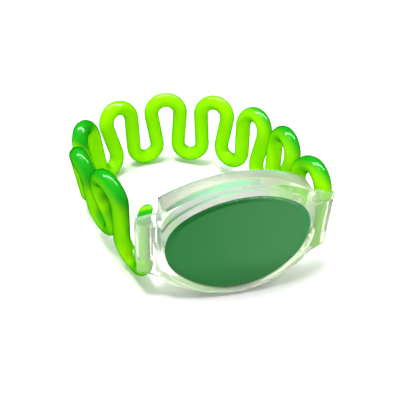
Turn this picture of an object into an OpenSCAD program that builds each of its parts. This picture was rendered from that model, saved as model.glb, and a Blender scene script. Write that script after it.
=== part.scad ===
/* [Housing] */
// Distance between the axes of the two lug tubes
lug_spacing = 43.6; // [43.2:0.1:44.4]
// Half height of the body at its middle
body_rise = 16; // [15.7:0.1:17]
// Radius of the body's long upper and lower arcs
body_arc_r = 30; // [29.5:0.5:33]
// Half length of the thick middle of the body
body_half = 18; // [17.9:0.1:18.3]
// Depth of the body from the foot of the bezel to its back
body_depth = 6; // [5.8:0.1:7]
// How far the bezel ring stands out in front of the body
bezel_proud = 0.8; // [0.6:0.1:1.4]
// Width of the bezel ring round the insert
bezel_rim = 1.7; // [1.3:0.1:1.8]
// Radius of the curve that the face follows round the wrist
face_r = 90; // [80:1:110]
// How far the middle of the face lies in front of the lug axes
face_forward = 6.1; // [6:0.1:6.4]

/* [Insert] */
// Half length of the green oval insert
insert_a = 17.8; // [17.5:0.1:17.9]
// Half height of the green oval insert
insert_b = 13.5; // [13:0.1:13.7]
// Radius of the oval's two end arcs
insert_end_r = 11; // [10.5:0.1:11.5]
// Depth of the insert's back behind the face
insert_depth = 5.8; // [4:0.1:6]
// How far the insert's front lies behind the bezel's
insert_sink = 0.2; // [0:0.05:0.4]

/* [Lugs] */
// Outer radius of each lug tube
tube_r = 2.15; // [2.1:0.05:2.2]
// Radius of the bore through each lug tube
bore_r = 1.5; // [1.48:0.01:1.6]
// Height of the tubes' lower ends, from the middle of the body
tube_low = -4.3; // [-4.5:0.1:-3.9]
// Height of the tubes' upper ends, from the middle of the body
tube_high = 5.4; // [5:0.1:5.8]
// Thickness of the front wall that hides the strap's shoulders
wall_t = 0.9; // [0.7:0.05:1]
// How far the front wall lies behind the front of the body
wall_step = 0.15; // [0.1:0.05:0.2]
// Width of the pocket between the bezel and each tube
pocket_w = 1.1; // [0.8:0.1:1.2]
// Height of that pocket
pocket_h = 7; // [5:0.1:8]
// Depth of that pocket behind the face
pocket_depth = 4.4; // [3:0.1:5]

/* [Strap] */
// Diameter of the strap's cord
cord_d = 4.25; // [4.1:0.05:4.3]
// Diameter of the cord's thin ends, which stand in the lug tubes
pin_d = 2.8; // [2.6:0.05:2.9]
// Length of each thin end
pin_length = 14.4; // [13:0.1:15]
// Outward lean of the wave in degrees, from its lower turns to its upper ones
flare = 5; // [4:0.1:6]

/* [Hidden] */

// The origin lies on the floor under the middle of the whole object's box
loop_middle = [-7.04, 24.69];
// Height and small leans of the whole band where it rests on the floor
rest_z = 0.18;
rest_side = -4.9;
rest_back = 0.6;
// Height of the body's middle, and how far the housing leans against the strap
body_z = 15.9;
lean_side = 3.1;
lean_back = -2.9;
// Side of the space that the housing's cuts are made in
reach = 60;
// Clearance all round the insert in its seat
seat_gap = 0.1;
lug_x = lug_spacing / 2;

// Outline of the front wall at each end of the body
// columns: distance from the middle, lower edge, upper edge
wall_outline = [
    [17, -10.2, 10.6],
    [18.6, -9.2, 10],
    [20.2, -8.3, 9.4],
    [23.9, -7.3, 8]
];
// Plan of the neck that joins each tube to the body
// columns: distance from the middle, distance behind the lug axes
neck_plan = [[17, -5], [19.2, -5], [19.2, -1], [18, 2.3], [17, 2.2]];
neck_low = -8;
neck_high = 7.4;
// Middle of the pocket, from the middle of the body
pocket_middle = [19.1, 2.7];

// Heading of the strap where it leaves the left lug, in degrees from +X
strap_heading = 116;
// Change of heading along each sixth of the strap, on its way round the back
plan_turns = [-7.7, -52.8, -53.1, -54.8, -37.4, 15.5];
// Length of the wave's middle line from lug to lug
wave_length = 137.6;
// Height of the wave's middle line at the lugs, and its fall per mm to the back and to the right
wave_z = 19.05;
fall_back = 0.145;
fall_side = 0.02;
// Length over which the wave's lean fades at each lug
lean_run = 5;
// Sides of the cord's section, and steps round each turn
cord_sides = 12;
turn_steps = 10;
// Turns of the wave, low and high in turn
// columns: place along the strap, height from the middle line, radius
turns = [
    [5.2, -8.1, 5.2],
    [12.2, 5.7, 4.7],
    [18, -3.1, 4.9],
    [27, 5.1, 4.4],
    [36.4, -4.2, 3.9],
    [42.6, 5, 4.5],
    [51.3, -5.1, 4],
    [57.8, 5.1, 4.4],
    [65.7, -5.4, 3.9],
    [72.8, 4.8, 4.3],
    [80.2, -5.7, 3.9],
    [87.7, 4.7, 4.3],
    [94.8, -4.7, 4],
    [102.6, 4.8, 4.6],
    [110.3, -4.7, 4.7],
    [118.3, 5.2, 5.1],
    [125.2, -5, 4.2],
    [132.4, 3.1, 5.2]
];
last_turn = len(turns) - 1;

// The housing leans a little against the strap: a point of its frame, in the strap's
function leaned(p) =
    let(
        x = p.x * cos(lean_side) + p.z * sin(lean_side),
        z = p.z * cos(lean_side) - p.x * sin(lean_side)
    )
    [x, p.y * cos(lean_back) - z * sin(lean_back), p.y * sin(lean_back) + z * cos(lean_back) + body_z];

module leaned() {
    translate([0, 0, body_z]) rotate([lean_back, 0, 0]) rotate([0, lean_side, 0]) children();
}

module at_rest() {
    translate([-loop_middle.x, -loop_middle.y, rest_z]) rotate([rest_back, rest_side, 0]) children();
}

module both_ends() {
    for (side = [0, 1]) mirror([side, 0, 0]) children();
}

// Oval of four arcs, grown evenly all round
module oval(grow = 0) {
    end_x = insert_a - insert_end_r;
    side_r = (end_x ^ 2 + insert_b ^ 2 - insert_end_r ^ 2) / (2 * (insert_b - insert_end_r));
    joint_x = end_x * (side_r + grow) / (side_r - insert_end_r);
    for (side = [-1, 1]) translate([side * end_x, 0]) circle(insert_end_r + grow, $fn = 96);
    intersection() {
        translate([0, insert_b - side_r]) circle(side_r + grow, $fn = 192);
        translate([0, side_r - insert_b]) circle(side_r + grow, $fn = 192);
        square([2 * joint_x, reach], center = true);
    }
}

// Outline between the body's two long arcs
module eye() {
    intersection() {
        translate([0, body_rise - body_arc_r]) circle(body_arc_r, $fn = 192);
        translate([0, body_arc_r - body_rise]) circle(body_arc_r, $fn = 192);
        square([2 * body_half, reach], center = true);
    }
}

// The space between two depths behind the curved face
module face_layer(front, back) {
    translate([0, face_r - face_forward, 0]) difference() {
        cylinder(r = face_r - front, h = reach, center = true, $fn = 360);
        cylinder(r = face_r - back, h = 2 * reach, center = true, $fn = 360);
    }
}

// An outline seen from the front, cut out of one layer behind the curved face
module slab(front, back) {
    intersection() {
        face_layer(front, back);
        rotate([90, 0, 0]) linear_extrude(reach, center = true) children();
    }
}

// A plan carried up between two heights, behind the front wall
module block(low, high) {
    intersection() {
        face_layer(wall_front + wall_t / 2, reach / 2);
        translate([0, 0, low]) linear_extrude(high - low) children();
    }
}

wall_front = bezel_proud + wall_step;
wall_points = concat(
    [for (row = wall_outline) [row[0], row[1]]],
    [for (i = [len(wall_outline) - 1 : -1 : 0]) [wall_outline[i][0], wall_outline[i][2]]]
);

module lug() {
    slab(wall_front, wall_front + wall_t) polygon(wall_points);
    block(neck_low, neck_high) polygon(neck_plan);
    block(tube_low, tube_high) {
        translate([lug_x, 0]) circle(tube_r, $fn = 64);
        translate([body_half - 1, -body_depth]) square([lug_x + tube_r - body_half + 1, body_depth]);
    }
}

module pocket() {
    run = (pocket_h - pocket_w) / 2;
    slab(-1, pocket_depth) translate(pocket_middle) {
        square([pocket_w, 2 * run], center = true);
        for (end = [-run, run]) translate([0, end]) circle(d = pocket_w, $fn = 32);
    }
}

module housing() {
    color([0.86, 0.92, 0.82, 0.6]) at_rest() leaned() difference() {
        union() {
            slab(bezel_proud, bezel_proud + body_depth) eye();
            slab(0, bezel_proud + 1) oval(bezel_rim);
            both_ends() lug();
        }
        slab(-1, insert_depth + seat_gap) oval(seat_gap);
        both_ends() {
            pocket();
            translate([lug_x, 0, 0]) cylinder(r = bore_r, h = reach, center = true, $fn = 64);
        }
    }
}

module face_insert() {
    color("seagreen") at_rest() leaned() slab(insert_sink, insert_depth) oval();
}

// A point on an arc that sets out from a place and heading, with its heading there
function arc_point(start, arc_r, turn) =
    [
        start[0] + arc_r * (sin(start[2] + turn) - sin(start[2])),
        start[1] - arc_r * (cos(start[2] + turn) - cos(start[2])),
        start[2] + turn
    ];

plan_step = wave_length / len(plan_turns);
function plan_r(i) = plan_step / plan_turns[i] * 180 / PI;
function plan_start(i) =
    i == 0 ? [0, 0, strap_heading] : arc_point(plan_start(i - 1), plan_r(i - 1), plan_turns[i - 1]);
plan_starts = [for (i = [0 : len(plan_turns) - 1]) plan_start(i)];
function plan_at(s) =
    let(i = min(max(floor(s / plan_step), 0), len(plan_turns) - 1))
    arc_point(plan_starts[i], plan_r(i), plan_turns[i] * (s / plan_step - i));
function outward(s) = let(heading = plan_at(s)[2]) [-sin(heading), cos(heading), 0];

// Places of the two lug axes at the height where the wave's ends meet them
function wave_height(x, y, rise) = wave_z - fall_back * y - fall_side * x + rise;
function axis_at(side, z) =
    let(
        low = leaned([side * lug_x, 0, tube_low]),
        high = leaned([side * lug_x, 0, tube_high])
    )
    low + (high - low) * (z - low.z) / (high.z - low.z);
first_z = wave_height(-lug_x, 0, turns[0][1]);
last_z = wave_height(lug_x, 0, turns[last_turn][1]);
// The outward lean fades away over the last few millimetres before each lug
function fade(s) = min(1, s / lean_run, (wave_length - s) / lean_run);
function lean_out(s, rise) = outward(s) * tan(flare) * rise * fade(s);
wave_start = axis_at(-1, first_z);
wave_end = axis_at(1, last_z);
plan_end = plan_at(wave_length);
// The small error of the rounded arcs is spread along the strap
closing = [wave_end.x - wave_start.x - plan_end[0], wave_end.y - wave_start.y - plan_end[1]];

function wave_point(s, rise) =
    let(
        plan = plan_at(s),
        x = wave_start.x + plan[0] + closing.x * s / wave_length + lean_out(s, rise).x,
        y = wave_start.y + plan[1] + closing.y * s / wave_length + lean_out(s, rise).y
    )
    [x, y, wave_height(x, y, rise)];

// Each turn is joined to the next by a straight leg that touches both circles
function is_high(i) = i % 2 == 1;
function leg_angle(i) =
    let(
        run = turns[i + 1][0] - turns[i][0],
        climb = turns[i + 1][1] - turns[i][1],
        spread = acos((turns[i][2] + turns[i + 1][2]) / norm([run, climb]))
    )
    atan2(climb, run) + (is_high(i) ? spread : -spread);
function turn_from(i) = i == 0 ? 180 : leg_angle(i - 1) + 180;
function turn_to(i) = (i == last_turn ? 0 : leg_angle(i)) + (is_high(i) ? 0 : 360);

wave = [
    for (i = [0 : last_turn], j = [0 : turn_steps])
        let(angle = turn_from(i) + (turn_to(i) - turn_from(i)) * j / turn_steps)
        [turns[i][0] + turns[i][2] * cos(angle), turns[i][1] + turns[i][2] * sin(angle)]
];

cord_r = cord_d / 2;
pin_r = pin_d / 2;
// Distance from a tube's end to the shoulder where the cord narrows to its pin
shoulder = 0.3;
// Length over which the cord narrows
taper = 0.5;
// columns: centre of the ring, radius
left_rings = [
    [leaned([-lug_x, 0, tube_low - shoulder + pin_length]), pin_r],
    [leaned([-lug_x, 0, tube_low - shoulder]), pin_r],
    [leaned([-lug_x, 0, tube_low - shoulder - taper]), cord_r - taper / 2],
    [leaned([-lug_x, 0, tube_low - shoulder - 2 * taper]), cord_r]
];
right_rings = [
    [leaned([lug_x, 0, tube_high + shoulder + 2 * taper]), cord_r],
    [leaned([lug_x, 0, tube_high + shoulder + taper]), cord_r - taper / 2],
    [leaned([lug_x, 0, tube_high + shoulder]), pin_r],
    [leaned([lug_x, 0, tube_high + shoulder - pin_length]), pin_r]
];
// columns: centre of the ring, direction that its first corner points in, radius
rings = concat(
    [for (ring = left_rings) [ring[0], outward(0), ring[1]]],
    [for (p = wave) [wave_point(p[0], p[1]), outward(p[0]), cord_r]],
    [for (ring = right_rings) [ring[0], outward(wave_length), ring[1]]]
);
ring_count = len(rings);

function unit(v) = v / norm(v);
function ring_points(i) =
    let(
        along = unit(rings[min(i + 1, ring_count - 1)][0] - rings[max(i - 1, 0)][0]),
        out = unit(rings[i][1] - along * (rings[i][1] * along)),
        side = cross(along, out)
    )
    [
        for (k = [0 : cord_sides - 1])
            let(angle = k * 360 / cord_sides)
            rings[i][0] + rings[i][2] * (cos(angle) * out + sin(angle) * side)
    ];

module wave_strap() {
    color("lawngreen") at_rest() polyhedron(
        points = [for (i = [0 : ring_count - 1]) each ring_points(i)],
        faces = concat(
            [[for (k = [0 : cord_sides - 1]) k]],
            [
                for (i = [0 : ring_count - 2], k = [0 : cord_sides - 1])
                    let(next = (k + 1) % cord_sides, here = i * cord_sides, there = here + cord_sides)
                    each [[here + k, there + k, there + next], [here + k, there + next, here + next]]
            ],
            [[for (k = [cord_sides - 1 : -1 : 0]) (ring_count - 1) * cord_sides + k]]
        )
    );
}

housing();
face_insert();
wave_strap();
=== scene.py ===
import bmesh
import bpy
import math
from mathutils import Matrix, Vector


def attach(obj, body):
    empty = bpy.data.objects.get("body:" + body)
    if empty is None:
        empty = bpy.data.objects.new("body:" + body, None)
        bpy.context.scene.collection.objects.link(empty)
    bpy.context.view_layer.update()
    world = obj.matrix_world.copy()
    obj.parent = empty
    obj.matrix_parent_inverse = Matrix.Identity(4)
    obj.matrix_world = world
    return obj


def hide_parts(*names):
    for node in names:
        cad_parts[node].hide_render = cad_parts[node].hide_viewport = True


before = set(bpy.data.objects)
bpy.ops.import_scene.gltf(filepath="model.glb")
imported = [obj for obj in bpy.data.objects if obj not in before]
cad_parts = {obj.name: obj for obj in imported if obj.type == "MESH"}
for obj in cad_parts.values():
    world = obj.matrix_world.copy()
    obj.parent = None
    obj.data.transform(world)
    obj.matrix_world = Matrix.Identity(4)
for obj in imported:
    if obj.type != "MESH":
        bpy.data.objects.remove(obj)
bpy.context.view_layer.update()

MM = 0.001

# Camera, as the photo was taken: the scene is laid out for a frame of 400 by 400
CAMERA_PLACE = Vector((-38.2, -123.67, 108.79)) * MM
CAMERA_AZIMUTH = -19.3
CAMERA_ELEVATION = 38.37
CAMERA_ROLL = 5.98
CAMERA_LENS = 53.73
CAMERA_SENSOR = 36
CAMERA_NEAREST = 0.01

# How the band rests on the floor, and how the housing leans against the strap
LOOP_MIDDLE = Vector((-7.04, 24.69, 0))
REST_HEIGHT = 0.18
REST_SIDE = -4.9
REST_BACK = 0.6
BODY_HEIGHT = 15.9
LEAN_SIDE = 3.1
LEAN_BACK = -2.9

# Housing, in mm
FACE_R = 90
FACE_FORWARD = 6.1
LUG_X = 21.8
POCKET_X = 19.1
POCKET_W = 1.1
POCKET_H = 7
POCKET_HEIGHT = 2.7
POCKET_FRONT = -2.9
POCKET_SLACK = 0.02
# Upper wall, which gets a painted shade: its end short of the lugs, the height above which its edges lie,
# how far it faces up
WALL_END_X = 19
WALL_EDGE_Z = 4
WALL_UPWARD = 0.4
# Rounding of the moulded edges that are sharper than an angle in degrees
EDGE_R = 0.25
EDGE_STEPS = 3
EDGE_ANGLE = 28
# The CAD mesh is joined where its corners meet, and faces flatter than an angle become one
MERGE = 0.005
FLAT_ANGLE = 0.6
# Places of the housing's materials in its list
SHELL, EDGES, POCKETS = 0, 1, 2

# Insert, in mm
INSERT_A = 17.8
INSERT_B = 13.5
INSERT_END_R = 11
INSERT_SINK = 0.2
INSERT_DEPTH = 5.8
INSERT_SIDES = 160
# Sides on which the insert's border gets its painted shade and its painted light, as angles from +X
BORDER_DARK = math.radians(108)
BORDER_LIGHT = math.radians(20)
BORDER_LIGHTNESS = 0.6
# Side on which small glints sit on the insert's border, how far inside its edge, how fast they fade
GLINT_SIDE = math.radians(75)
GLINT_INSIDE = -0.55
GLINT_FADE = 7
# Rings of the insert: growth of the oval, depth behind the face, share of border, which carries its painted
# shade and light, share of wall, which carries the painted teal glow
INSERT_PROFILE = [
    (-1.75, INSERT_SINK, 0, 0), (-1.6, INSERT_SINK, 0, 0), (-1.5, INSERT_SINK + 0.02, 0.6, 0),
    (-1.35, INSERT_SINK + 0.06, 1, 0), (-0.8, INSERT_SINK + 0.09, 1, 0),
    (GLINT_INSIDE, INSERT_SINK + 0.1, 1, 0), (-0.3, INSERT_SINK + 0.11, 1, 0),
    (-0.06, INSERT_SINK + 0.13, 0.9, 0), (-0.01, INSERT_SINK + 0.17, 0, 0), (0, INSERT_SINK + 0.3, 0, 1),
    (0, INSERT_DEPTH - 0.4, 0, 1), (-0.1, INSERT_DEPTH - 0.1, 0, 1), (-0.4, INSERT_DEPTH, 0, 1),
]
# Rings further in on the face and on the back, as shares of the oval, and the back's share of wall, with its
# painted teal glow
FACE_RINGS = [0.1, 0.2, 0.3, 0.4, 0.5, 0.6, 0.7, 0.8, 0.9]
BACK_RINGS = [0.8, 0.6, 0.4, 0.2]
BACK_WALL = 0.3

# Strap, in mm and degrees
CORD_R = 2.125
PIN_R = 1.4
PIN_LENGTH = 14.4
TUBE_LOW = -4.3
TUBE_HIGH = 5.4
SHOULDER = 0.3
TAPER = 0.5
FLARE = 5
STRAP_HEADING = 116
PLAN_TURNS = [-7.7, -52.8, -53.1, -54.8, -37.4, 15.5]
WAVE_LENGTH = 137.6
WAVE_HEIGHT = 19.05
FALL_BACK = 0.145
FALL_SIDE = 0.02
LEAN_RUN = 5
# Turns of the wave: place along the strap, height from the middle line, radius
WAVE_TURNS = [
    (5.2, -8.1, 5.2),
    (12.2, 5.7, 4.7),
    (18, -3.1, 4.9),
    (27, 5.1, 4.4),
    (36.4, -4.2, 3.9),
    (42.6, 5, 4.5),
    (51.3, -5.1, 4),
    (57.8, 5.1, 4.4),
    (65.7, -5.4, 3.9),
    (72.8, 4.8, 4.3),
    (80.2, -5.7, 3.9),
    (87.7, 4.7, 4.3),
    (94.8, -4.7, 4),
    (102.6, 4.8, 4.6),
    (110.3, -4.7, 4.7),
    (118.3, 5.2, 5.1),
    (125.2, -5, 4.2),
    (132.4, 3.1, 5.2),
]
TURN_STEPS = 16
LEG_STEPS = 8
CORD_SIDES = 28
# Side that the light enters the strap from, for the light and shade painted into its colour
LIGHT_SIDE = Vector((0.6, 0.3, 0.74))
# Depth of painted shade along the strap, where its green is drawn deeper: the turn's number, with the leg
# after its half, and the depth there
PAINTED_SHADE_DEPTHS = [
    (0, 0.5), (0.2, 0.45), (0.35, 0.15), (0.6, 0.5), (0.8, 0.6), (1, 0.7), (1.1, 0.9), (1.3, 0.9),
    (1.5, 0.7), (1.75, 0.5), (2, 0.8), (2.3, 0.75), (2.6, 0.6), (2.8, 0.7), (3, 1), (3.5, 0.9),
    (3.7, 0.4), (4, 0.1), (4.5, 0), (4.9, 0), (5.03, 0.3), (5.14, 0.95), (5.25, 0.95), (5.35, 0.4),
    (5.5, 0), (12.9, 0), (13.1, 0.25), (13.25, 0.5), (13.4, 0.5), (13.5, 0.3), (13.8, 0), (14.8, 0),
    (15.05, 0.35), (15.15, 0.75), (15.35, 0.65), (15.5, 0.3), (15.7, 0.1), (16, 0), (16.8, 0.1),
    (17.05, 0.3), (17.2, 0.92), (17.4, 0.55), (17.5, 0.1),
]

# Thin end that stands out of the left lug, with the slanted rough cut at its tip, in mm
STUB_R = 1.65
STUB_FOOT_R = 1.58
STUB_LEAN = Vector((0.7, 0.4))
CUT_DROP = 3.5
CUT_SIDE = Vector((-0.85, -0.53, 0))
CUT_STEEPNESS = 1.5
CUT_RIPPLE = 0.35
CUT_RIPPLES = 5
CUT_SKEW = 0.6
CUT_SHIFT = 0.5
# Painted light on the cut, and how far its ripples vary it
CUT_LIT = 0.4
CUT_LIT_RIPPLE = 3
CUT_REACH = 0.5
# Rings of the cut, from its middle to the edge: depth below the tip, share of the radius, depth of painted
# shade
CUT_RINGS = [
    (0, 0.1, 0.45), (0.01, 0.3, 0.45), (0.02, 0.5, 0.45), (0.03, 0.65, 0.45), (0.04, 0.8, 0.65),
    (0.1, 0.95, 1), (0.3, 1, 1),
]
# Rings where it leaves the tube: height above the tube, radius, depth of painted shade
FOOT_RINGS = [(0.4, STUB_FOOT_R, 0.8), (0.1, PIN_R, 0.6), (-0.2, PIN_R, 0.5)]
# Rings where the cord narrows to its pin: height above the shoulder, radius, depth of painted shade
NARROWING = [
    (PIN_LENGTH / 2, PIN_R, 0.4), (0.3, PIN_R, 0.2), (0.1, PIN_R * 1.04, 0.2),
    (-TAPER / 2, PIN_R * 1.25, 0.3), (-TAPER, CORD_R * 0.9, 0.3), (-2 * TAPER, CORD_R, 0.3),
]
# Painted shade of the cord's right end
RIGHT_END_SHADE = 0.3

# Colours of the gel, the frosted plastic and the insert, with the light and shade painted into them
# Lit and shaded copies of the gel's green: painted light and painted shade
LIME = (0.42, 0.86, 0.0007, 1)
DEEP_GREEN = (0.023, 0.48, 0.018, 1)
# Painted glow of the gel, lime on the side away from the light
LIME_GLOW = (0.5, 0.9, 0.0007, 1)
DEEP_GLOW = (0.007, 0.13, 0.001, 1)
GEL_RIM = (0.68, 0.88, 0.68, 1)
CLEAR = (0.97, 0.98, 0.92, 1)
# A shaded copy of the clear plastic for the upper wall: painted shade
CLEAR_UPPER = (0.68, 0.65, 0.56, 1)
# The rounded edges drawn darker, a painted shade, and darker still on the upper wall
EDGE = (0.85, 0.86, 0.78, 1)
EDGE_UPPER = (0.32, 0.29, 0.22, 1)
# The pockets drawn darker and greener: a painted shade with painted green light
RECESS = (0.66, 0.76, 0.64, 1)
# Painted green light on the housing's right end
PAINTED_GREEN_LIGHT = (0.85, 0.94, 0.62, 1)
# The insert's face lighter to the right, painted light, and darker low down, painted shade
FACE_LEFT = (0.028, 0.24, 0.056, 1)
FACE_RIGHT = (0.066, 0.31, 0.092, 1)
FACE_LOW = (0.022, 0.19, 0.039, 1)
# Painted shade and painted light on the insert's border
DARK_BORDER = (0.003, 0.18, 0.017, 1)
LIGHT_BORDER = (0.035, 0.38, 0.115, 1)
# Teal of the insert's wall, with a painted glow that is strongest on top
TEAL_WALL = (0.03, 0.5, 0.22, 1)
TEAL_GLOW = (0.005, 0.6, 0.34, 1)
PALE_SPECK = (0.5, 0.7, 0.5, 1)
# Painted glints on the insert's border
GLINT = (0.35, 0.75, 0.4, 1)
BLACK = (0, 0, 0, 1)
WHITE = (1, 1, 1, 1)

# Studio, in metres and watts
FLOOR_HALF = 4
WORLD_LIGHT = 0.54
OVERHEAD_PLACE = (-0.18, 0.05, 0.88)
OVERHEAD_SIZE = (0.3, 0.3)
OVERHEAD_POWER = 9.6
STRIP_PLACE = (0.1, 0.28, 0.7)
STRIP_SIZE = (1.4, 0.2)
STRIP_POWER = 34


def turned(degrees, axis):
    return Matrix.Rotation(math.radians(degrees), 3, axis)


LEANED = turned(LEAN_BACK, "X") @ turned(LEAN_SIDE, "Y")
RESTING = turned(REST_SIDE, "Y") @ turned(REST_BACK, "X")


def leaned(x, y, z):
    """A point of the housing's frame, in the strap's"""
    return LEANED @ Vector((x, y, z)) + Vector((0, 0, BODY_HEIGHT))


def at_rest(point):
    """A point of the strap's frame, in metres where the band rests"""
    return (RESTING @ point - LOOP_MIDDLE + Vector((0, 0, REST_HEIGHT))) * MM


def on_face(x, z, depth):
    """A point behind the curved face, from its place as seen from the front"""
    y = FACE_R - FACE_FORWARD - math.sqrt((FACE_R - depth) ** 2 - x * x)
    return at_rest(leaned(x, y, z))


def new_piece(name, mesh, node):
    """Puts a finished mesh in the scene, on the band's one body, in place of its CAD node"""
    piece = bpy.data.objects.new(name, mesh)
    bpy.context.scene.collection.objects.link(piece)
    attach(piece, "root")
    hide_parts(node)


# Path of the strap
def arc_end(start, radius, turn):
    """Place and heading at the end of an arc seen from above"""
    x, y, heading = start
    was, now = math.radians(heading), math.radians(heading + turn)
    return (
        x + radius * (math.sin(now) - math.sin(was)),
        y - radius * (math.cos(now) - math.cos(was)),
        heading + turn,
    )


PLAN_STEP = WAVE_LENGTH / len(PLAN_TURNS)
PLAN_RADII = [PLAN_STEP / math.radians(turn) for turn in PLAN_TURNS]
PLAN_STARTS = [(0, 0, STRAP_HEADING)]
for radius, turn in zip(PLAN_RADII, PLAN_TURNS):
    PLAN_STARTS.append(arc_end(PLAN_STARTS[-1], radius, turn))


def plan_at(place):
    """Place and heading at a length along the strap's path, seen from above"""
    i = min(max(int(place // PLAN_STEP), 0), len(PLAN_TURNS) - 1)
    return arc_end(PLAN_STARTS[i], PLAN_RADII[i], PLAN_TURNS[i] * (place / PLAN_STEP - i))


def outward(place):
    """Level direction out of the loop"""
    heading = math.radians(plan_at(place)[2])
    return Vector((-math.sin(heading), math.cos(heading), 0))


def wave_height(x, y, rise):
    """Height of the wave, whose middle line falls away to the back"""
    return WAVE_HEIGHT - FALL_BACK * y - FALL_SIDE * x + rise


def on_lug_axis(side, height):
    """Point of a lug's axis at a height, with -1 for the left lug and 1 for the right"""
    low = leaned(side * LUG_X, 0, TUBE_LOW)
    high = leaned(side * LUG_X, 0, TUBE_HIGH)
    return low.lerp(high, (height - low.z) / (high.z - low.z))


WAVE_START = on_lug_axis(-1, wave_height(-LUG_X, 0, WAVE_TURNS[0][1]))
WAVE_END = on_lug_axis(1, wave_height(LUG_X, 0, WAVE_TURNS[-1][1]))
PLAN_END = plan_at(WAVE_LENGTH)
CLOSING = (WAVE_END - WAVE_START).xy - Vector(PLAN_END[:2])


def wave_point(place, rise):
    """Point of the cord's middle, leaning out as it rises, on the path closed from lug to lug"""
    x, y, _ = plan_at(place)
    fade = min(1, place / LEAN_RUN, (WAVE_LENGTH - place) / LEAN_RUN)
    lean_out = outward(place) * math.tan(math.radians(FLARE)) * rise * fade
    x += WAVE_START.x + CLOSING.x * place / WAVE_LENGTH + lean_out.x
    y += WAVE_START.y + CLOSING.y * place / WAVE_LENGTH + lean_out.y
    return Vector((x, y, wave_height(x, y, rise)))


def leg_angle(i):
    """Angle on turn i at which the straight leg to the next turn leaves it"""
    run = WAVE_TURNS[i + 1][0] - WAVE_TURNS[i][0]
    climb = WAVE_TURNS[i + 1][1] - WAVE_TURNS[i][1]
    spread = math.acos((WAVE_TURNS[i][2] + WAVE_TURNS[i + 1][2]) / math.hypot(run, climb))
    return math.atan2(climb, run) + (spread if i % 2 else -spread)


def wave_line():
    """Places, heights and turn numbers along the wave: its turns and the straight legs between them"""
    line = []
    last = len(WAVE_TURNS) - 1
    for i, (place, height, radius) in enumerate(WAVE_TURNS):
        start = math.pi if i == 0 else leg_angle(i - 1) + math.pi
        end = (0 if i == last else leg_angle(i)) + (0 if i % 2 else 2 * math.pi)
        for j in range(TURN_STEPS + 1):
            angle = start + (end - start) * j / TURN_STEPS
            turn = i + 0.5 * j / TURN_STEPS
            point = (place + radius * math.cos(angle), height + radius * math.sin(angle), turn)
            if line and j == 0:
                was = line[-1]
                for k in range(1, LEG_STEPS):
                    part = k / LEG_STEPS
                    line.append(tuple(a + (b - a) * part for a, b in zip(was, point)))
            line.append(point)
    return line


def painted_shade_at(turn):
    """Depth of painted shade at a turn's number, between the two nearest given ones"""
    for (before, first), (after, second) in zip(PAINTED_SHADE_DEPTHS, PAINTED_SHADE_DEPTHS[1:]):
        if turn <= after:
            return first + (second - first) * (turn - before) / (after - before)
    return PAINTED_SHADE_DEPTHS[-1][1]


def strap_line():
    """Centre, radius and depth of the painted shade along the whole strap"""
    left_shoulder = TUBE_LOW - SHOULDER
    right_shoulder = TUBE_HIGH + SHOULDER
    tube_top = TUBE_HIGH - left_shoulder
    stub = [(PIN_LENGTH - drop, STUB_R * share, depth) for drop, share, depth in CUT_RINGS]
    stub += [(tube_top + rise, radius, depth) for rise, radius, depth in FOOT_RINGS]
    rings = []
    for rise, radius, depth in stub:
        lean = STUB_LEAN * max(0, rise - tube_top) / (PIN_LENGTH - tube_top)
        rings.append((leaned(-LUG_X + lean.x, lean.y, left_shoulder + rise), radius, depth))
    for rise, radius, depth in NARROWING:
        rings.append((leaned(-LUG_X, 0, left_shoulder + rise), radius, depth))
    for place, rise, turn in wave_line():
        rings.append((wave_point(place, rise), CORD_R, painted_shade_at(turn)))
    for rise, radius, _ in reversed(NARROWING):
        rings.append((leaned(LUG_X, 0, right_shoulder - rise), radius, RIGHT_END_SHADE))
    rings.append((leaned(LUG_X, 0, right_shoulder - PIN_LENGTH), PIN_R, RIGHT_END_SHADE))
    return rings


class Value:
    """A node's output socket, with arithmetic that adds its Math nodes"""

    def __init__(self, graph, socket):
        self.graph = graph
        self.socket = socket

    def maths(self, operation, other):
        return self.graph.node("ShaderNodeMath", {"operation": operation}, {0: self, 1: other})

    def __add__(self, other):
        return self.maths("ADD", other)

    def __mul__(self, other):
        return self.maths("MULTIPLY", other)

    def __sub__(self, other):
        return self.maths("SUBTRACT", other)

    def __rsub__(self, other):
        return self * -1 + other

    __radd__ = __add__
    __rmul__ = __mul__

    def ramp(self, low, high):
        """0 up to low, 1 from high, and smooth between them"""
        sockets = {"Value": self, "From Min": low, "From Max": high}
        return self.graph.node("ShaderNodeMapRange", {"interpolation_type": "SMOOTHSTEP"}, sockets)


class Graph:
    """A node tree, with one method that adds any node"""

    def __init__(self, tree):
        self.tree = tree

    def node(self, kind, settings=None, sockets=None, out=0):
        made = self.tree.nodes.new(kind)
        for name, value in (settings or {}).items():
            setattr(made, name, value)
        for name, value in (sockets or {}).items():
            if isinstance(value, Value):
                self.tree.links.new(value.socket, made.inputs[name])
            else:
                made.inputs[name].default_value = value
        if not made.outputs:
            return None
        enabled = [socket for socket in made.outputs if socket.enabled]
        return Value(self, made.outputs[out] if isinstance(out, str) else enabled[out])

    def blend(self, part, first, second):
        """Mixes two colours: sockets 6 and 7 of the node are its two colours"""
        return self.node("ShaderNodeMix", {"data_type": "RGBA"}, {0: part, 6: first, 7: second})

    def noise(self, place, scale, detail=3):
        return self.node("ShaderNodeTexNoise", None, {"Vector": place, "Scale": scale, "Detail": detail})

    def attribute(self, name):
        return self.node("ShaderNodeAttribute", {"attribute_name": name}, out="Fac")


def new_material(name):
    material = bpy.data.materials.new(name)
    material.use_nodes = True
    material.node_tree.nodes.clear()
    return material, Graph(material.node_tree)


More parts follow.
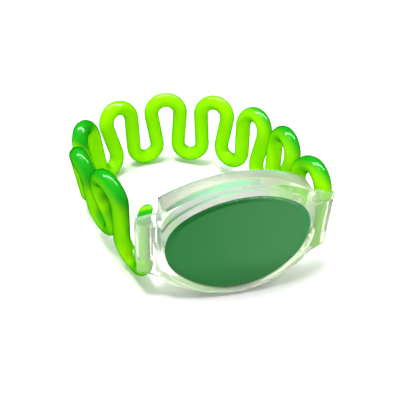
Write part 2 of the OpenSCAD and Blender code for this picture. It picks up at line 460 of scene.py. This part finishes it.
def strap_gel():
    """Clear green rubber, painted deep green where the light enters it and with a painted lime glow on the
    far side
    """
    material, graph = new_material("clear green gel")
    place = graph.node("ShaderNodeTexCoord", out="Object")
    lit = graph.attribute("lit_side")
    # Painted shade along the strap
    inner = graph.attribute("painted_shade")
    fine = graph.noise(place, 900)
    broad = graph.noise(place, 160, 2)
    # Painted shade: deeper green by how far the surface faces the light and by the painted shade along the
    # strap
    deep = (lit * 0.5 + inner + broad * 0.16).ramp(0.3, 1.05)
    # More painted shade on the faces turned away from the light
    deep = deep + (1 - lit.ramp(-1.1, -0.55)) * 0.35
    skin = graph.node("ShaderNodeBump", None, {"Strength": 0.06, "Distance": 0.05 * MM, "Height": fine})
    gel = graph.node("ShaderNodeBsdfPrincipled", None, {
        "Base Color": graph.blend(deep, LIME, DEEP_GREEN),
        "Roughness": broad.ramp(0.3, 0.7) * 0.05 + 0.08,
        "IOR": 1.45,
        "Specular IOR Level": 0.2,
        # Painted glow, lime on the side away from the light
        "Emission Color": graph.blend(deep, LIME_GLOW, DEEP_GLOW),
        "Emission Strength": 0.22,
        "Subsurface Weight": 0.3,
        "Subsurface Radius": (0.6, 1.0, 0.2),
        "Subsurface Scale": 1.5 * MM,
        "Transmission Weight": 0.1,
        "Coat Weight": 1.0,
        "Coat Roughness": 0.1,
        "Coat IOR": 1.003,
        "Coat Tint": GEL_RIM,
        "Normal": skin,
    })
    graph.node("ShaderNodeOutputMaterial", None, {"Surface": gel})
    return material


def frosted_clear(name, tint, upper_tint, end_shade, clearness):
    """Frosted clear plastic of the housing, with a painted shade darker on its upper wall and most at the
    wall's left end, and painted green light towards its right end
    """
    material, graph = new_material(name)
    place = graph.node("ShaderNodeTexCoord", out="Object")
    x = graph.node("ShaderNodeSeparateXYZ", None, {"Vector": place}, out="X")
    grain = graph.noise(place, 1400)
    broad = graph.noise(place, 120, 2)
    skin = graph.node("ShaderNodeBump", None, {"Strength": 0.1, "Distance": 0.05 * MM, "Height": grain})
    # Painted shade: darker on the upper wall, most at its left end
    end_tint = (*(level * end_shade for level in upper_tint[:3]), 1)
    upper_colour = graph.blend(1 - x.ramp(-0.013, 0), upper_tint, end_tint)
    colour = graph.blend(graph.attribute("upper_wall"), tint, upper_colour)
    # Painted green light towards the right end
    colour = graph.blend((x + broad * 0.004).ramp(0.009, 0.02) * 0.4, colour, PAINTED_GREEN_LIGHT)
    shell = graph.node("ShaderNodeBsdfPrincipled", None, {
        "Base Color": colour,
        "Roughness": broad.ramp(0.3, 0.7) * 0.04 + 0.2,
        "IOR": 1.2,
        "Transmission Weight": clearness,
        "Normal": skin,
    })
    graph.node("ShaderNodeOutputMaterial", None, {"Surface": shell})
    return material


def insert_green():
    """Glossy dark green of the face insert, with painted light and shade: lighter to the right, darker low
    down, a painted shade and light on its border, a painted glow on the teal of its wall, and painted glints
    """
    material, graph = new_material("glossy dark green")
    place = graph.node("ShaderNodeTexCoord", out="Object")
    x = graph.node("ShaderNodeSeparateXYZ", None, {"Vector": place}, out="X")
    z = graph.node("ShaderNodeSeparateXYZ", None, {"Vector": place}, out="Z")
    border = graph.attribute("border")
    wall = graph.attribute("wall")
    fine = graph.noise(place, 2600, 1)
    broad = graph.noise(place, 110, 2)
    # Painted light towards the right, and painted shade low down
    colour = graph.blend((x + broad * 0.006).ramp(-0.012, 0.024), FACE_LEFT, FACE_RIGHT)
    colour = graph.blend((1 - (z - broad * 0.003).ramp(0.003, 0.011)) * 0.6, colour, FACE_LOW)
    # Painted shade and painted light on the border
    colour = graph.blend(border.ramp(0, 1), colour, DARK_BORDER)
    colour = graph.blend(1 - border.ramp(-1, 0), colour, LIGHT_BORDER)
    # Teal of the wall, strongest on top where painted light falls
    colour = graph.blend(wall, colour, TEAL_WALL)
    colour = graph.blend(fine.ramp(0.76, 0.8) * 0.25, colour, PALE_SPECK)
    # Painted glints along the border's upper edge
    colour = graph.blend(graph.attribute("glint") * fine.ramp(0.4, 0.56), colour, GLINT)
    face = graph.node("ShaderNodeBsdfPrincipled", None, {
        "Base Color": colour,
        "Roughness": broad * 0.06 + 0.28,
        "Specular IOR Level": 0.3,
        # Painted glow of the teal wall
        "Emission Color": graph.blend(wall, BLACK, TEAL_GLOW),
        "Emission Strength": 0.65,
    })
    graph.node("ShaderNodeOutputMaterial", None, {"Surface": face})
    return material


def cord_tree(material):
    """Geometry Nodes that sweep a round section along a line of points, each with its own radius, and
    keep how far the surface faces the light"""
    tree = bpy.data.node_groups.new("round cord along its line", "GeometryNodeTree")
    panel = tree.interface
    panel.new_socket("Line", in_out="INPUT", socket_type="NodeSocketGeometry")
    sides = panel.new_socket("Sides of the section", in_out="INPUT", socket_type="NodeSocketInt")
    light = panel.new_socket("Side of the light", in_out="INPUT", socket_type="NodeSocketVector")
    finish = panel.new_socket("Finish", in_out="INPUT", socket_type="NodeSocketMaterial")
    panel.new_socket("Cord", in_out="OUTPUT", socket_type="NodeSocketGeometry")
    graph = Graph(tree)
    given = tree.nodes.new("NodeGroupInput")
    line, side_count, light_side, cord_finish = (Value(graph, given.outputs[k]) for k in range(4))
    radius = graph.node("GeometryNodeInputNamedAttribute", {"data_type": "FLOAT"}, {"Name": "cord_radius"})
    path = graph.node("GeometryNodeMeshToCurve", None, {"Mesh": line})
    section = graph.node("GeometryNodeCurvePrimitiveCircle", None, {"Resolution": side_count, "Radius": 1.0})
    sweep = {"Curve": path, "Profile Curve": section, "Scale": radius, "Fill Caps": True}
    cord = graph.node("GeometryNodeCurveToMesh", None, sweep)
    normal = graph.node("GeometryNodeInputNormal")
    both = {0: normal, 1: light_side}
    lit = graph.node("ShaderNodeVectorMath", {"operation": "DOT_PRODUCT"}, both, out="Value")
    stored = {"Geometry": cord, "Name": "lit_side", "Value": lit}
    cord = graph.node("GeometryNodeStoreNamedAttribute", {"data_type": "FLOAT", "domain": "POINT"}, stored)
    cord = graph.node("GeometryNodeRealizeInstances", None, {"Geometry": cord})
    cord = graph.node("GeometryNodeSetMaterial", None, {"Geometry": cord, "Material": cord_finish})
    graph.node("NodeGroupOutput", None, {"Cord": cord})
    inputs = {
        sides.identifier: CORD_SIDES,
        light.identifier: LIGHT_SIDE,
        finish.identifier: material,
    }
    return tree, inputs


def make_strap(material):
    """The cord swept along its line, with the slanted cut at its tip"""
    rings = strap_line()
    points = [at_rest(centre) for centre, _, _ in rings]
    line = bpy.data.meshes.new("strap line")
    line.from_pydata(points, [(i, i + 1) for i in range(len(points) - 1)], [])
    radius = line.attributes.new("cord_radius", "FLOAT", "POINT")
    radius.data.foreach_set("value", [r * MM for _, r, _ in rings])
    painted_shade = line.attributes.new("painted_shade", "FLOAT", "POINT")
    painted_shade.data.foreach_set("value", [depth for _, _, depth in rings])
    piece = bpy.data.objects.new("strap_line", line)
    bpy.context.scene.collection.objects.link(piece)
    tree, inputs = cord_tree(material)
    sweep = piece.modifiers.new("sweep", "NODES")
    sweep.node_group = tree
    for identifier, value in inputs.items():
        sweep[identifier] = value
    bpy.context.view_layer.update()
    shaped = piece.evaluated_get(bpy.context.evaluated_depsgraph_get())
    mesh = bpy.data.meshes.new_from_object(shaped)
    bpy.data.objects.remove(piece)
    slant_the_cut(mesh, points[0], (points[0] - points[len(CUT_RINGS)]).normalized())
    smooth_where_round(mesh, crease=40)
    new_piece("gel_strap", mesh, "wave_strap")


def slant_the_cut(mesh, tip, axis):
    """Slides the corners at the tip down the pin, the further the nearer they are to the cut's low side, and
    paints light and shade on the cut
    """
    side = (CUT_SIDE - axis * CUT_SIDE.dot(axis)).normalized()
    across = axis.cross(side)
    lit = mesh.attributes["lit_side"]
    for vert in mesh.vertices:
        away = vert.co - tip
        along = away.dot(axis)
        if abs(along) < CUT_REACH * MM and (away - axis * along).length < CORD_R * MM:
            downhill = away.dot(side) / (STUB_R * MM)
            sideways = away.dot(across) / (STUB_R * MM)
            inner = max(0, 1 - downhill ** 2 - sideways ** 2)
            wave = math.sin(CUT_RIPPLES * (downhill + CUT_SKEW * sideways) + CUT_SHIFT)
            ripple = CUT_RIPPLE * inner * wave
            drop = CUT_DROP * max(0, 0.5 + 0.5 * downhill) ** CUT_STEEPNESS + ripple
            vert.co -= axis * MM * drop
            lit.data[vert.index].value = CUT_LIT + CUT_LIT_RIPPLE * ripple


def smooth_where_round(mesh, crease):
    """Smooth faces, apart from edges sharper than the crease"""
    work = bmesh.new()
    work.from_mesh(mesh)
    for face in work.faces:
        face.smooth = True
    for edge in work.edges:
        edge.smooth = len(edge.link_faces) == 2 and edge.calc_face_angle(0) < math.radians(crease)
    work.to_mesh(mesh)
    work.free()


def insert_outline(grow):
    """Corners of the insert's oval of four arcs, grown evenly, counterclockwise from +X"""
    quarter_sides = INSERT_SIDES // 4
    end_x = INSERT_A - INSERT_END_R
    side_r = (end_x ** 2 + INSERT_B ** 2 - INSERT_END_R ** 2) / (2 * (INSERT_B - INSERT_END_R))
    reach = math.atan2(side_r - INSERT_B, end_x)
    corners = []
    for k in range(INSERT_SIDES):
        quarter, step = divmod(k, quarter_sides)
        part = step / quarter_sides
        part = 1 - part if quarter % 2 else part
        if part < 0.5:
            angle = reach * 2 * part
            x = end_x + (INSERT_END_R + grow) * math.cos(angle)
            z = (INSERT_END_R + grow) * math.sin(angle)
        else:
            angle = reach + (math.pi / 2 - reach) * (2 * part - 1)
            x = (side_r + grow) * math.cos(angle)
            z = (side_r + grow) * math.sin(angle) - (side_r - INSERT_B)
        corners.append((-x if quarter in (1, 2) else x, -z if quarter in (2, 3) else z))
    return corners


def make_insert(material):
    """The green insert: a smooth face, a sloping border, a rounded edge and its deep sides"""
    work = bmesh.new()
    border = work.verts.layers.float.new("border")
    wall = work.verts.layers.float.new("wall")
    glint = work.verts.layers.float.new("glint")
    face_edge = insert_outline(INSERT_PROFILE[0][0])
    back_edge = insert_outline(INSERT_PROFILE[-1][0])
    rings = []
    for part in FACE_RINGS:
        rings.append([work.verts.new(on_face(x * part, z * part, INSERT_SINK)) for x, z in face_edge])
    for grow, depth, edge, side in INSERT_PROFILE:
        ring = [work.verts.new(on_face(x, z, depth)) for x, z in insert_outline(grow)]
        for k, vert in enumerate(ring):
            angle = 2 * math.pi * k / INSERT_SIDES
            # Painted shade on the border's upper left and painted light on its lower right
            dark = max(0, math.cos(angle - BORDER_DARK)) ** 2
            light = BORDER_LIGHTNESS * max(0, math.cos(angle - BORDER_LIGHT))
            vert[border] = edge * (dark - light)
            # The wall's painted light and glow are strongest on top
            vert[wall] = side * (0.5 + 0.5 * math.sin(angle))
            if grow == GLINT_INSIDE:
                vert[glint] = max(0, math.cos(angle - GLINT_SIDE)) ** GLINT_FADE
        rings.append(ring)
    for part in BACK_RINGS:
        ring = [work.verts.new(on_face(x * part, z * part, INSERT_DEPTH)) for x, z in back_edge]
        for vert in ring:
            vert[wall] = BACK_WALL
        rings.append(ring)
    for near, far in zip(rings, rings[1:]):
        for k in range(INSERT_SIDES):
            after = (k + 1) % INSERT_SIDES
            work.faces.new((near[k], far[k], far[after], near[after]))
    for ring, depth in ((rings[0], INSERT_SINK), (rings[-1], INSERT_DEPTH)):
        middle = work.verts.new(on_face(0, 0, depth))
        middle[wall] = ring[0][wall]
        for k in range(INSERT_SIDES):
            work.faces.new((middle, ring[k], ring[(k + 1) % INSERT_SIDES]))
    bmesh.ops.recalc_face_normals(work, faces=work.faces)
    mesh = bpy.data.meshes.new("insert")
    work.to_mesh(mesh)
    work.free()
    mesh.materials.append(material)
    smooth_where_round(mesh, crease=60)
    new_piece("green_insert", mesh, "face_insert")


def in_housing_frame(point):
    """A point of the finished scene, in mm in the housing's own frame"""
    flat = RESTING.inverted() @ (point / MM - Vector((0, 0, REST_HEIGHT)) + LOOP_MIDDLE)
    return LEANED.inverted() @ (flat - Vector((0, 0, BODY_HEIGHT)))


def in_pocket(point):
    """Whether a point of the housing's frame lies in a pocket between the bezel and a tube"""
    beside = abs(abs(point.x) - POCKET_X) < POCKET_W / 2 + POCKET_SLACK
    return beside and abs(point.z - POCKET_HEIGHT) < POCKET_H / 2 and point.y > POCKET_FRONT


def make_housing(material, edge_material, recess_material):
    """The housing with its moulded edges rounded"""
    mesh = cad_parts["housing"].data.copy()
    work = bmesh.new()
    work.from_mesh(mesh)
    bmesh.ops.remove_doubles(work, verts=work.verts, dist=MERGE * MM)
    flat = math.radians(FLAT_ANGLE)
    bmesh.ops.dissolve_limit(work, angle_limit=flat, verts=work.verts, edges=work.edges, delimit={"NORMAL"})
    work.to_mesh(mesh)
    work.free()
    mesh.materials.clear()
    for part_material in (material, edge_material, recess_material):
        mesh.materials.append(part_material)
    upper = mesh.attributes.new("upper_wall", "FLOAT", "FACE")
    to_housing = (RESTING @ LEANED).transposed()
    for face in mesh.polygons:
        place = in_housing_frame(face.center)
        face.material_index = POCKETS if in_pocket(place) else SHELL
        # Faces of the upper wall take its painted shade
        faces_up = (to_housing @ face.normal).z > WALL_UPWARD
        upper.data[face.index].value = 1 if faces_up and abs(place.x) < WALL_END_X else 0
    piece = bpy.data.objects.new("housing_work", mesh)
    bpy.context.scene.collection.objects.link(piece)
    rounding = piece.modifiers.new("rounding", "BEVEL")
    rounding.width = EDGE_R * MM
    rounding.segments = EDGE_STEPS
    rounding.limit_method = "ANGLE"
    rounding.angle_limit = math.radians(EDGE_ANGLE)
    rounding.miter_outer = "MITER_ARC"
    # The rounded edges take the edge material, with its painted shade
    rounding.material = EDGES
    shaped = piece.evaluated_get(bpy.context.evaluated_depsgraph_get())
    mesh = bpy.data.meshes.new_from_object(shaped)
    bpy.data.objects.remove(piece)
    upper = mesh.attributes["upper_wall"]
    for face in mesh.polygons:
        # Rounded edges on the upper wall take its painted shade
        if face.material_index == EDGES:
            place = in_housing_frame(face.center)
            on_wall = place.z > WALL_EDGE_Z and abs(place.x) < WALL_END_X
            upper.data[face.index].value = 1 if on_wall else 0
    smooth_where_round(mesh, crease=30)
    new_piece("frosted_housing", mesh, "housing")


def make_floor():
    mesh = bpy.data.meshes.new("floor")
    corners = [(x * FLOOR_HALF, y * FLOOR_HALF, 0) for x, y in ((-1, -1), (1, -1), (1, 1), (-1, 1))]
    mesh.from_pydata(corners, [], [(0, 1, 2, 3)])
    floor = bpy.data.objects.new("floor", mesh)
    bpy.context.scene.collection.objects.link(floor)
    material, graph = new_material("white table")
    surface = graph.node("ShaderNodeBsdfPrincipled", None, {
        "Base Color": (0.92, 0.92, 0.92, 1),
        "Roughness": 0.6,
        "Emission Color": WHITE,
        "Emission Strength": 0.04,
    })
    graph.node("ShaderNodeOutputMaterial", None, {"Surface": surface})
    mesh.materials.append(material)
    floor.visible_glossy = False


def soft_light(name, place, size, power, diffuse=True, gloss=True):
    """A softbox aimed at the band, its size across and along, for the shading, the highlights or both"""
    data = bpy.data.lights.new(name, "AREA")
    data.shape = "RECTANGLE"
    data.size, data.size_y = size
    data.energy = power
    lamp = bpy.data.objects.new(name, data)
    lamp.location = place
    lamp.rotation_euler = (-Vector(place)).to_track_quat("-Z", "Y").to_euler()
    lamp.visible_diffuse = diffuse
    lamp.visible_transmission = diffuse
    lamp.visible_glossy = gloss
    bpy.context.scene.collection.objects.link(lamp)


def make_studio():
    world = bpy.data.worlds.new("studio")
    world.use_nodes = True
    sky = world.node_tree.nodes["Background"]
    sky.inputs["Color"].default_value = WHITE
    sky.inputs["Strength"].default_value = WORLD_LIGHT
    world.cycles_visibility.glossy = False
    bpy.context.scene.world = world
    soft_light("overhead softbox", OVERHEAD_PLACE, OVERHEAD_SIZE, OVERHEAD_POWER, gloss=False)
    soft_light("highlight strip", STRIP_PLACE, STRIP_SIZE, STRIP_POWER, diffuse=False)
    bpy.context.scene.view_settings.view_transform = "Standard"


def make_camera():
    data = bpy.data.cameras.new("camera")
    data.lens = CAMERA_LENS
    data.sensor_width = CAMERA_SENSOR
    data.clip_start = CAMERA_NEAREST
    camera = bpy.data.objects.new("camera", data)
    around, above, roll = (math.radians(v) for v in (CAMERA_AZIMUTH, CAMERA_ELEVATION, CAMERA_ROLL))
    level = math.cos(above)
    back = Vector((math.sin(around) * level, -math.cos(around) * level, math.sin(above)))
    right = Vector((math.cos(around), math.sin(around), 0))
    up = back.cross(right)
    rolled_right = math.cos(roll) * right + math.sin(roll) * up
    rolled_up = -math.sin(roll) * right + math.cos(roll) * up
    turn = Matrix((rolled_right, rolled_up, back)).transposed().to_4x4()
    camera.matrix_world = Matrix.Translation(CAMERA_PLACE) @ turn
    bpy.context.scene.collection.objects.link(camera)
    bpy.context.scene.camera = camera


make_camera()
make_studio()
make_floor()
make_strap(strap_gel())
make_insert(insert_green())
make_housing(
    frosted_clear("frosted clear plastic", CLEAR, CLEAR_UPPER, end_shade=0.35, clearness=0.82),
    frosted_clear("frosted clear edges", EDGE, EDGE_UPPER, end_shade=0.9, clearness=0.65),
    frosted_clear("frosted clear recess", RECESS, RECESS, end_shade=1, clearness=0.4),
)
